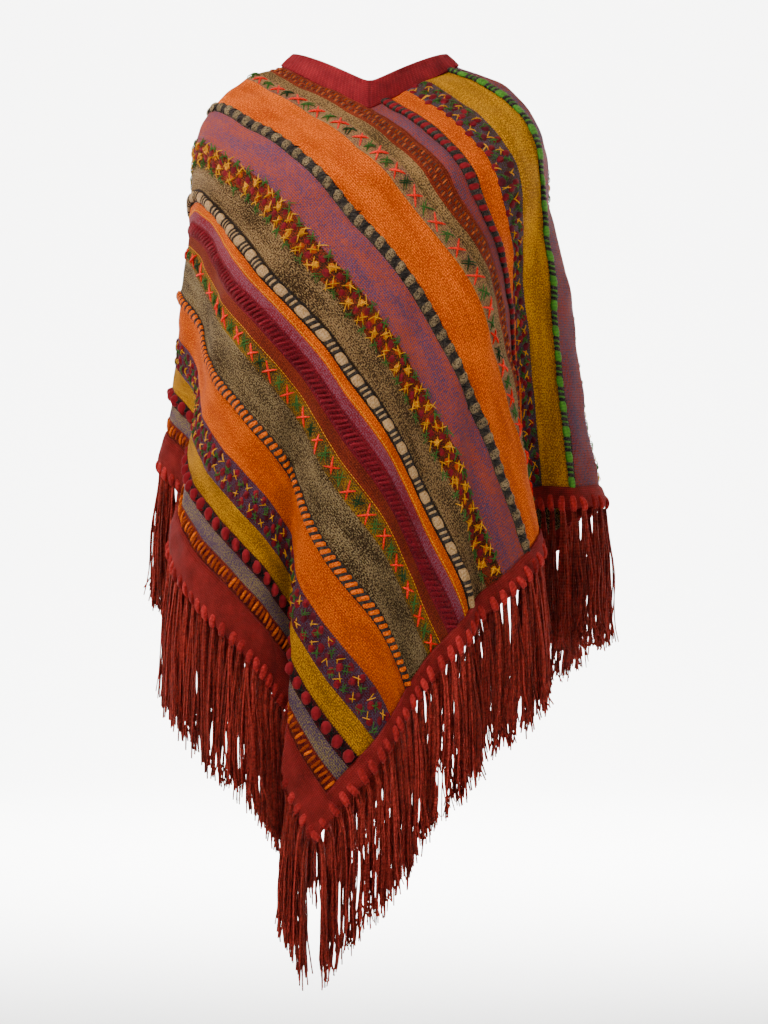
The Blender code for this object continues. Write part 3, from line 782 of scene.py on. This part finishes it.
def knit_sheet(name, cloth, a_ends, b_ends, material, lift=0.0, bulge=0.0, step=CLOTH_STEP,
               thickness=KNIT_THICKNESS, across="a"):
    """A rectangle of knit on the worn form, with its wall inwards.

    bulge lifts the middle of the piece by a half sine over its a range or its b range.
    """
    a_line = stations(*a_ends, step)
    b_line = stations(*b_ends, step)
    a, b = np.meshgrid(a_line, b_line, indexing="ij")
    ends, value = (a_ends, a) if across == "a" else (b_ends, b)
    share = (value - ends[0]) / (ends[1] - ends[0])
    rise = lift + bulge * np.sin(np.pi * np.clip(share, 0, 1)) ** 0.5
    points = cloth.place(a, b, rise)
    quads = grid_quads(*a.shape)
    corner = points.reshape(-1, 3)[quads[0]]
    facing = np.cross(corner[1] - corner[0], corner[3] - corner[0])
    if np.dot(facing, cloth.outward(a, b)[0, 0]) < 0:
        quads = quads[:, ::-1]
    uv = np.stack((a, b), axis=-1).reshape(-1, 2)
    piece = add_piece(name, points.reshape(-1, 3), quads, material, uv)
    wall = piece.modifiers.new("wall", "SOLIDIFY")
    wall.thickness = thickness
    wall.offset = -1.0
    return piece


def neck_band(material):
    """The neck band: one thick rib, a closed ring of a flat oval profile.

    The profile runs up the outside, over a round top edge and down the inside; the ring follows the
    neck edge below and the band's own edge above.
    """
    turns = 480
    turn = (np.arange(turns) + 0.5) * 180.0 / turns
    lower = neck_ring(turn, NECK_SIDE, NECK_FRONT, NECK_BACK)
    upper = neck_ring(turn, BAND_SIDE, BAND_TOP_FRONT, BAND_BACK, 1.5, 0.06)
    ring_way = np.roll(lower, -1, axis=0) - np.roll(lower, 1, axis=0)
    out = unit(np.cross(upper - lower, ring_way))
    out *= np.sign(np.sum(out * lower * (1, 1, 0), axis=1, keepdims=True))
    share = np.concatenate((np.linspace(-0.06, 0.94, 12), [0.985, 1.0, 0.985], np.linspace(0.94, -0.06, 12)))
    depth = np.concatenate((np.full(12, 1.0), [0.75, 0.0, -0.75], np.full(12, -1.0)))
    depth[:12] += 0.25 * np.sin(np.pi * np.linspace(0, 1, 12))
    half = 0.0019
    place = lower[:, None] + (upper - lower)[:, None] * share[None, :, None]
    place = place + out[:, None] * (depth * half)[None, :, None]
    count = len(share)
    index = np.arange(turns * count).reshape(turns, count)
    after = np.roll(index, -1, axis=0)
    up = np.roll(index, -1, axis=1)
    both = np.roll(after, -1, axis=1)
    quads = np.stack((index, after, both, up), axis=-1).reshape(-1, 4)
    corner = place.reshape(-1, 3)[quads[3]]
    facing = np.cross(corner[1] - corner[0], corner[3] - corner[0])
    if np.dot(facing, out[0]) < 0:
        quads = quads[:, ::-1]
    run = np.concatenate(([0.0], np.cumsum(np.linalg.norm(np.diff(lower, axis=0), axis=1))))
    uv = np.stack(np.broadcast_arrays(run[:, None], share[None] * 0.034), axis=-1).reshape(-1, 2)
    return add_piece("neck_band_rib", place.reshape(-1, 3), quads, material, uv)


# ---------------------------------------------------------------- fringe

def fringe(name, cloth, hem_a, hem_b, inward, material, seed):
    """Knotted bunches along one hem: a loop of yarn round the hem, and strands that hang below it.

    hem_a and hem_b are the ends of the hem line; inward is the flat direction into the cloth. Each
    strand leaves its knot along the cloth and turns to hang straight down, with a small wave.
    """
    rng = np.random.default_rng(seed)
    start = np.array((hem_a[0], hem_b[0]))
    end = np.array((hem_a[1], hem_b[1]))
    length = np.linalg.norm(end - start)
    bunches = round(length / 0.0172)
    share = (np.arange(bunches) + 0.5 + rng.uniform(-0.12, 0.12, bunches)) / bunches
    middle = start + (end - start) * share[:, None]
    hem_way = (end - start) / length
    inward = np.array(inward)
    yarns = Yarns()

    # The knots: each a soft puff of two fat loops that stands square to the hem
    tint = rng.uniform(0.6, 1.3, (bunches, 1))
    reach = rng.uniform(0.9, 1.15, (bunches, 1))
    slant = hem_way * rng.normal(0, 0.0030, (bunches, 1))
    share = np.linspace(0, 1, 8)
    for loop in (-1, 1):
        shift = hem_way * loop * 0.0019
        low = middle + shift - inward * 0.0030
        high = middle + shift * 0.6 + slant + inward * 0.0155 * reach
        path = low[:, None] + (high - low)[:, None] * share[None, :, None]
        lift = 0.0042 * np.sin(np.pi * (0.02 + 0.96 * share)) ** 0.5 + 0.0006
        places = cloth.place(path[..., 0], path[..., 1], lift[None])
        full = 0.0028 * (0.35 + 0.65 * np.sin(np.pi * (0.04 + 0.92 * share)) ** 0.7)
        ink = np.array(DYES["fringe bright"]) * tint * (1.0 if loop > 0 else 0.9)
        yarns.add_tubes(places, cloth.outward(path[..., 0], path[..., 1]), full[None], full[None], 7,
                        ink[:, None], ink[:, None] * 0.7)

    # The strands: each bunch falls as three tufts
    strands = 18
    total = bunches * strands
    bunch = np.repeat(np.arange(bunches), strands)
    tuft = bunch * 3 + np.tile(np.arange(strands) % 3, bunches)
    tuft_side = np.tile((-1.0, 0.0, 1.0), bunches)[tuft] + rng.normal(0, 0.35, bunches * 3)[tuft]
    side = rng.uniform(-1, 1, total)
    depth = rng.uniform(-1, 1, total)
    root = middle[bunch] + hem_way * (side * 0.0030)[:, None] - inward * 0.0016
    top = cloth.place(root[:, 0], root[:, 1], 0.0006 + 0.0014 * depth)
    out = cloth.outward(root[:, 0], root[:, 1])
    below = root - inward * 0.01
    leave = unit(cloth.at(below[:, 0], below[:, 1]) - cloth.at(root[:, 0], root[:, 1]))
    along = unit(cloth.at(root[:, 0] + hem_way[0] * 0.004, root[:, 1] + hem_way[1] * 0.004) - top)
    down = np.array((0.0, 0.0, -1.0))
    points = 11
    run = np.linspace(0, 1, points)
    lengths = FRINGE_LENGTH * np.clip(rng.normal(0.97, 0.05, total), 0.76, 1.04)
    lean = rng.normal(0, 0.024, (bunches * 3, 3)) * (1, 1, 0)
    fall = unit(down + lean[tuft] + rng.normal(0, 0.010, (total, 3)) * (1, 1, 0))
    level_out = unit(out * (1, 1, 0.0) + 1e-6)
    spread = along * (tuft_side * 0.0050 + side * 0.0024)[:, None]
    spread = spread + level_out * (0.002 + 0.0035 * depth)[:, None]
    distance = run[None, :] * lengths[:, None]
    easing = 1 - np.exp(-distance / 0.012)
    path = top[:, None] + fall[:, None] * distance[..., None]
    path = path + (leave - fall)[:, None] * (0.012 * easing)[..., None] * 0.8
    path = path + spread[:, None] * smooth(run * 1.8)[None, :, None]
    wave = rng.uniform(0.0008, 0.0036, bunches * 3)[tuft] * rng.uniform(0.6, 1.4, total)
    phase = rng.uniform(0, 2 * np.pi, bunches * 3)[tuft] + rng.normal(0, 0.6, total)
    rate = rng.uniform(1.0, 2.6, bunches * 3)[tuft]
    swing = wave[:, None] * np.sin(rate[:, None] * run * 2 * np.pi + phase[:, None]) * run
    path = path + along[:, None] * swing[..., None]
    curl = rng.normal(0, 0.0055, total)[:, None] * np.clip(run - 0.7, 0, 1)[None] ** 2 * 11
    path = path + along[:, None] * curl[..., None]
    width = 0.00104 * np.concatenate((np.ones(points - 1), [0.85]))
    mix = rng.uniform(0, 1, total)[:, None] ** 0.8
    ink = np.array(DYES["fringe dark"]) * (1 - mix) + np.array(DYES["fringe red"]) * mix
    ink = ink * rng.uniform(0.75, 1.2, (total, 1)) * rng.uniform(0.8, 1.2, bunches * 3)[tuft][:, None]
    yarns.add_tubes(path, np.broadcast_to(out[:, None], path.shape), width[None], width[None], 4,
                    ink[:, None], ink[:, None] * 0.6)
    return yarns.piece(name, material)


# ---------------------------------------------------------------- materials

class Value:
    """A shader socket used in sums: each operator adds one Math node."""

    def __init__(self, maps, socket):
        self.maps = maps
        self.socket = socket

    def math(self, operation, first, second=0.0):
        return self.maps.add("ShaderNodeMath", {"operation": operation}, (first, second))

    def __add__(self, other):
        return self.math("ADD", self, other)

    def __sub__(self, other):
        return self.math("SUBTRACT", self, other)

    def __rsub__(self, other):
        return self.math("SUBTRACT", other, self)

    def __mul__(self, other):
        return self.math("MULTIPLY", self, other)

    def __truediv__(self, other):
        return self.math("DIVIDE", self, other)

    def __pow__(self, other):
        return self.math("POWER", self, other)

    __radd__ = __add__
    __rmul__ = __mul__


class Maps:
    """The node tree of one material."""

    def __init__(self, name, roughness, sheen, sheen_tint):
        self.material = bpy.data.materials.new(name)
        self.material.use_nodes = True
        self.tree = self.material.node_tree
        self.shader = self.tree.nodes["Principled BSDF"]
        self.shader.inputs["Roughness"].default_value = roughness
        self.shader.inputs["Specular IOR Level"].default_value = 0.06
        self.shader.inputs["Sheen Weight"].default_value = sheen
        self.shader.inputs["Sheen Roughness"].default_value = 0.5
        self.shader.inputs["Sheen Tint"].default_value = (*sheen_tint, 1.0)

    def noise(self, place, scale, detail):
        """Soft two-dimensional noise at a place."""
        return self.add("ShaderNodeTexNoise", {"noise_dimensions": "2D"},
                        {"Vector": place, "Scale": scale, "Detail": detail})

    def add(self, kind, settings=None, values=(), output=0):
        """Add a node: its settings first, then the values or links of its sockets."""
        node = self.tree.nodes.new(kind)
        for key, setting in (settings or {}).items():
            if key == "stops":
                self.fill_ramp(node.color_ramp, setting)
            else:
                setattr(node, key, setting)
        pairs = values.items() if isinstance(values, dict) else enumerate(values)
        for key, value in pairs:
            if isinstance(value, Value):
                self.tree.links.new(value.socket, node.inputs[key])
            else:
                node.inputs[key].default_value = value
        return Value(self, node.outputs[output])

    @staticmethod
    def fill_ramp(ramp, stops):
        """Set a ramp's stops, held level between them."""
        ramp.interpolation = "CONSTANT"
        while len(ramp.elements) > 1:
            ramp.elements.remove(ramp.elements[-1])
        ramp.elements[0].position = 0.0
        ramp.elements[0].color = (*stops[0][1], 1.0)
        for position, colour in stops[1:]:
            ramp.elements.new(position).color = (*colour, 1.0)

    def wave(self, value):
        """Half of 1 plus the sine of a value in turns."""
        return self.add("ShaderNodeMath", {"operation": "SINE"}, (value * (2 * np.pi),)) * 0.5 + 0.5

    def blend(self, factor, first, second, mode="MIX"):
        """A colour between two colours."""
        return self.add("ShaderNodeMix", {"data_type": "RGBA", "blend_type": mode},
                        {0: factor, 6: first, 7: second}, 2)

    def shade(self, colour, factor):
        """A colour times a number."""
        return self.add("ShaderNodeVectorMath", {"operation": "SCALE"}, {0: colour, "Scale": factor})

    def finish(self, colour, height, distance, strength=1.0):
        """Link the colour, and the height by way of a bump."""
        self.tree.links.new(colour.socket, self.shader.inputs["Base Color"])
        bump = self.add("ShaderNodeBump", {}, {"Height": height, "Distance": distance, "Strength": strength})
        self.tree.links.new(bump.socket, self.shader.inputs["Normal"])
        return self.material


def stitches(maps, a, b, wale, course):
    """The knit's height, the number of each stitch as a random value, and its course.

    Each wale is a column of V's: the courses bend down towards the middle of the wale, and the
    height is a sine of the bent course, lower between the wales.
    """
    column = b / wale
    side = maps.add("ShaderNodeMath", {"operation": "FRACT"}, (column,)) - 0.5
    lean = maps.add("ShaderNodeMath", {"operation": "ABSOLUTE"}, (side,))
    bent = a / course + lean * 0.9
    whole = maps.add("ShaderNodeMath", {"operation": "FLOOR"}, (bent,))
    column_number = maps.add("ShaderNodeMath", {"operation": "FLOOR"}, (column,))
    where = maps.add("ShaderNodeCombineXYZ", {}, (whole, column_number, 0.0))
    chance = maps.add("ShaderNodeTexWhiteNoise", {"noise_dimensions": "2D"}, {"Vector": where})
    loop = maps.wave(bent)
    valley = (lean * 2.0) ** 4.0
    height = loop * 0.75 + (1.0 - valley) * 0.45
    return height, chance, whole


def flat_point(maps):
    """The two values of the piece's own map."""
    uv = maps.add("ShaderNodeUVMap", {"uv_map": "flat"})
    first = maps.add("ShaderNodeSeparateXYZ", {}, (uv,))
    return uv, first, Value(maps, first.socket.node.outputs[1])


def striped_knit(name, stripes, way):
    """Striped knit: the ground and the fleck of each stripe, mixed stitch by stitch.

    The colour is painted a little darker the further the cloth hangs from the neck: painted shade for the
    light falling off towards the hems.
    """
    maps = Maps(name, 0.9, 0.03, (1.0, 0.6, 0.3))
    uv, a, b = flat_point(maps)
    height, chance, whole = stitches(maps, a, b, WALE, COURSE)
    total = sum(stripe[0] for stripe in stripes) / 1000
    level = (whole + 0.5) * (COURSE * way / total)
    edges = np.concatenate(([0.0], np.cumsum([stripe[0] for stripe in stripes])[:-1])) / 1000 / total
    ground = [(edge, DYES[stripe[1]]) for edge, stripe in zip(edges, stripes)]
    fleck = [(edge, DYES[stripe[2]]) for edge, stripe in zip(edges, stripes)]
    ground = maps.add("ShaderNodeValToRGB", {"stops": ground}, (level,))
    fleck = maps.add("ShaderNodeValToRGB", {"stops": fleck}, (level,))
    stretched = maps.add("ShaderNodeVectorMath", {"operation": "MULTIPLY"}, (uv, (60.0, 14.0, 1.0)))
    drift = maps.noise(stretched, 1.0, 3.0)
    streak = maps.add("ShaderNodeVectorMath", {"operation": "MULTIPLY"}, (uv, (740.0, 430.0, 1.0)))
    streak = maps.noise(streak, 1.0, 1.0)
    mixed = chance * 0.4 + (drift - 0.5) * 2.2 + (streak - 0.5) * 5.5 + 0.40
    mixed = maps.add("ShaderNodeClamp", {}, (mixed,))
    colour = maps.blend(mixed, ground, fleck)
    # Painted shade: the colour darkens the further the cloth hangs from the neck, standing in for the light
    # that falls off towards the hems.
    from_neck = a * (0.8 * way) + (PANEL_WIDTH - b) * 0.5
    painted_falloff_shade = 1.05 - from_neck * 0.60
    # Painted shade: each stitch is darker where it is low and in the grooves between the wales. The chance
    # term is each stitch's own random tone, and the painted falloff darkens the cloth away from the neck.
    colour = maps.shade(colour, (height * 0.80 + 0.34 + chance * 0.16) * painted_falloff_shade)
    return maps.finish(colour, height, 0.0009, 0.8)


def plain_knit(name, ground, fleck, wale, course, swap=False, ribs=0.0):
    """Plain knit in one dye with a slow drift to another; ribs is how deep its ribs are, in the bump and in
    the painted shade between them.
    """
    maps = Maps(name, 0.9, 0.03, (1.0, 0.45, 0.4))
    uv, first, second = flat_point(maps)
    if swap:
        first, second = second, first
    height, chance, _ = stitches(maps, first, second, wale, course)
    drift = maps.noise(uv, 40.0, 3.0)
    mixed = maps.add("ShaderNodeClamp", {}, (chance * 0.5 + drift * 1.2 - 0.4,))
    colour = maps.blend(mixed, (*DYES[ground], 1.0), (*DYES[fleck], 1.0))
    rib = maps.wave(second / (2 * wale)) * ribs
    # Painted shade: the colour is darker where the stitches are low and between the ribs, and lighter on the
    # rib crests. The chance term is each stitch's own random tone.
    colour = maps.shade(colour, height * 0.72 + 0.36 + chance * 0.20 + rib * 0.45 - 0.3 * ribs)
    return maps.finish(colour, height + rib * 1.5, 0.0008, 0.8)


def dyed_yarn(name, twist, speckle):
    """Spun yarn: the dye and fleck that each point carries, twisted plies with painted shade between them,
    and a fine fuzz.
    """
    maps = Maps(name, 0.85, 0.04, (1.0, 0.6, 0.45))
    _, along, about = flat_point(maps)
    ground = maps.add("ShaderNodeAttribute", {"attribute_name": "dye"})
    fleck = maps.add("ShaderNodeAttribute", {"attribute_name": "fleck"})
    place = maps.add("ShaderNodeTexCoord", {}, (), 3)
    spots = maps.add("ShaderNodeTexNoise", {}, {"Vector": place, "Scale": speckle, "Detail": 2.0})
    mixed = maps.add("ShaderNodeClamp", {}, ((spots - 0.5) * 6.0 + 0.30,))
    ply = maps.wave(along / twist + about * 2.0)
    fuzz = maps.add("ShaderNodeTexNoise", {}, {"Vector": place, "Scale": 1400.0, "Detail": 2.0})
    colour = maps.blend(mixed, ground, fleck)
    # Painted shade: the yarn is darker in the grooves between its plies. The fuzz term is a random tone of
    # the fibres.
    colour = maps.shade(colour, ply * 0.25 + 0.72 + fuzz * 0.2)
    return maps.finish(colour, ply * 0.6 + fuzz * 0.8, 0.0006, 0.7)


# ---------------------------------------------------------------- the poncho

cloth = WornCloth()
knit_left = striped_knit("striped_knit_left", LEFT_STRIPES, 1)
knit_right = striped_knit("striped_knit_right", RIGHT_STRIPES, -1)
knit_hem = plain_knit("hem_knit", "hem red", "hem dark", WALE, COURSE)
knit_hem_end = plain_knit("hem_knit_end", "hem red", "hem dark", WALE, COURSE, True)
rib = plain_knit("neck_rib", "band red", "band dark", 0.0030, 0.0026, True, 0.45)
yarn = dyed_yarn("stitch_yarn", 0.004, 700.0)
fringe_yarn = dyed_yarn("fringe_yarn", 0.0035, 260.0)

long_edge = PANEL_WIDTH - LONG_BAND
far_end = -PANEL_LENGTH + END_BAND
panel_left = knit_sheet("left_panel", cloth, (0, long_edge), (END_BAND, PANEL_LENGTH), knit_left)
panel_right = knit_sheet("right_panel", cloth, (far_end, 0), (END_BAND, PANEL_WIDTH), knit_right)
work_left = raised_work("left_raised_work", cloth, LEFT_STRIPES, 1, END_BAND, PANEL_LENGTH, yarn, 11)
work_right = raised_work("right_raised_work", cloth, RIGHT_STRIPES, -1, END_BAND, PANEL_WIDTH, yarn, 12)

BAND_LIFT = 0.0012
BAND_BULGE = 0.0030
LONG_BAND_BULGE = 0.0050        # the left panel's long hem is puffier
BAND_LAP = 0.0015               # how far a hem band laps over its panel
BAND_THICKNESS = 0.0036
end_span = (0, END_BAND + BAND_LAP)
band = dict(lift=BAND_LIFT, bulge=BAND_BULGE, step=0.003, thickness=BAND_THICKNESS)
hem_left = knit_sheet("left_hem", cloth, (long_edge - BAND_LAP, PANEL_WIDTH), (0, PANEL_LENGTH), knit_hem,
                      **(band | {"bulge": LONG_BAND_BULGE}))
hem_front = knit_sheet("front_hem", cloth, (0, long_edge), end_span, knit_hem_end, across="b", **band)
hem_right = knit_sheet("right_hem", cloth, (-PANEL_LENGTH, 0), end_span, knit_hem_end, across="b", **band)
hem_back = knit_sheet("back_hem", cloth, (-PANEL_LENGTH, far_end + BAND_LAP), (END_BAND, PANEL_WIDTH),
                      knit_hem, **band)
collar = neck_band(rib)

FRINGE_INSET = 0.003            # from a corner to the first bunch
long_run = (FRINGE_INSET, PANEL_LENGTH - FRINGE_INSET)
short_run = (FRINGE_INSET, PANEL_WIDTH - FRINGE_INSET)
fringe_left = fringe("left_fringe", cloth, (PANEL_WIDTH, PANEL_WIDTH), long_run, (-1, 0), fringe_yarn, 21)
fringe_front = fringe("front_fringe", cloth, short_run, (0, 0), (0, 1), fringe_yarn, 22)
fringe_right = fringe("right_fringe", cloth, (-PANEL_LENGTH + FRINGE_INSET, -FRINGE_INSET), (0, 0), (0, 1),
                      fringe_yarn, 23)
fringe_back = fringe("back_fringe", cloth, (-PANEL_LENGTH, -PANEL_LENGTH), short_run, (1, 0), fringe_yarn, 24)

for piece, slot, *nodes in (
    (panel_left, "striped_knit", "panel_left"),
    (panel_right, "striped_knit", "panel_right"),
    (work_left, "striped_knit"),
    (work_right, "striped_knit"),
    (hem_left, "hem_knit", "hem_band_left"),
    (hem_front, "hem_knit", "hem_band_front"),
    (hem_right, "hem_knit", "hem_band_right"),
    (hem_back, "hem_knit", "hem_band_back"),
    (collar, "neck_rib", "neck_band"),
    (fringe_left, "fringe_yarn", "fringe_left"),
    (fringe_front, "fringe_yarn", "fringe_front"),
    (fringe_right, "fringe_yarn", "fringe_right"),
    (fringe_back, "fringe_yarn", "fringe_back"),
):
    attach(piece, "root")
    if nodes:
        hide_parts(*nodes)


# ---------------------------------------------------------------- floor, lights and camera

def studio_floor(level, flat_radius, bend, top):
    """A pale round floor that sweeps up into a wall, a turned profile far from the poncho."""
    quarter = np.linspace(0, np.pi / 2, 24)
    radius = np.concatenate(([0.0004], flat_radius + bend * np.sin(quarter), [flat_radius + bend]))
    height = np.concatenate(([level], level + bend * (1 - np.cos(quarter)), [top]))
    count = 96
    angle = np.arange(count + 1) / count * 2 * np.pi
    points = np.stack(np.broadcast_arrays(radius[:, None] * np.cos(angle), radius[:, None] * np.sin(angle),
                                          height[:, None]), axis=-1)
    material = bpy.data.materials.new("studio_floor")
    material.use_nodes = True
    shader = material.node_tree.nodes["Principled BSDF"]
    shader.inputs["Base Color"].default_value = (0.93, 0.925, 0.915, 1.0)
    shader.inputs["Roughness"].default_value = 0.9
    floor = add_piece("studio_floor", points.reshape(-1, 3), grid_quads(*points.shape[:2]), material)


def area_light(name, place, target, size, power):
    """A square soft light at a place, turned to a target."""
    light = bpy.data.lights.new(name, "AREA")
    light.shape = "SQUARE"
    light.size = size
    light.energy = power
    lamp = bpy.data.objects.new(name, light)
    bpy.context.scene.collection.objects.link(lamp)
    way = unit(np.array(place, float) - np.array(target, float))
    lamp.location = place
    lamp.rotation_euler = (np.arccos(way[2]), 0.0, np.arctan2(way[1], way[0]) + np.pi / 2)
    return lamp


studio_floor(-1.30, 4.5, 3.0, 6.0)
MIDDLE = (0.0, 0.0, -0.5)
area_light("key_light", (-0.8, -1.0, 0.9), (-0.08, 0.0, -0.12), 0.9, 37)
area_light("fill_light", (2.6, -3.0, 0.2), MIDDLE, 2.4, 3)
area_light("back_light", (1.6, 2.6, 1.2), MIDDLE, 1.8, 12)
area_light("wall_light", (0.0, 2.4, 1.9), (0.0, 5.5, 0.0), 3.0, 1750)
world = bpy.data.worlds.new("studio")
bpy.context.scene.world = world
world.use_nodes = True
world.node_tree.nodes["Background"].inputs["Color"].default_value = (1.0, 1.0, 1.0, 1.0)
world.node_tree.nodes["Background"].inputs["Strength"].default_value = 0.10

lens = bpy.data.cameras.new("camera")
lens.lens = 90.7
camera = bpy.data.objects.new("camera", lens)
bpy.context.scene.collection.objects.link(camera)
camera.location = (0.0163, -3.0, -0.513)
camera.rotation_euler = (np.pi / 2, 0.0, 0.0)
bpy.context.scene.camera = camera
